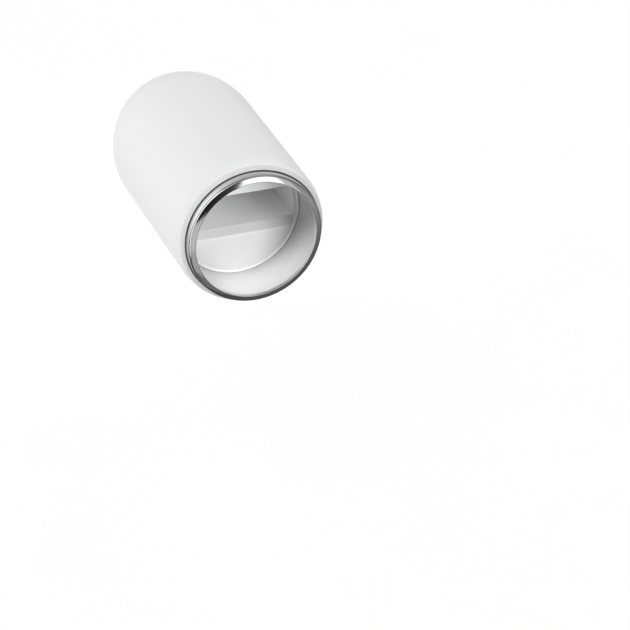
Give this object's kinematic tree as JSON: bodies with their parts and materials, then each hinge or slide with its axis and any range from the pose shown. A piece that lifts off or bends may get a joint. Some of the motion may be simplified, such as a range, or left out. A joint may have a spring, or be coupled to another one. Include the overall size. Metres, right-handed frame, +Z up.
{
  "type": "stylus cap",
  "caption": "Domed magnetic cap for the plug end of a digital stylus: white shell, polished steel ring at the mouth, and a round white socket with a slot for the plug.",
  "frame": {"origin": "on the resting plane, under the middle of the cap's length, with the cap lying on its side", "axes": "+Y along the cap's axis from the mouth to the domed end, +Z up, the plug slot level along X"},
  "size_m": [0.0088, 0.0174, 0.0089],
  "materials": {
    "shell_white": "smooth white, soft gloss",
    "ring_steel": "polished, mirror bright",
    "socket_white": "satin moulded white",
    "magnet_nickel": "nickel plated",
    "yoke_steel": "plain stamped steel"
  },
  "bodies": {
    "root": {"outer_shell": "shell_white", "trim_ring": "ring_steel", "bore_sleeve": "socket_white", "slot_insert": "socket_white", "upper_magnet": "magnet_nickel", "lower_magnet": "magnet_nickel", "yoke_plate": "yoke_steel"}
  },
  "joints": []
}
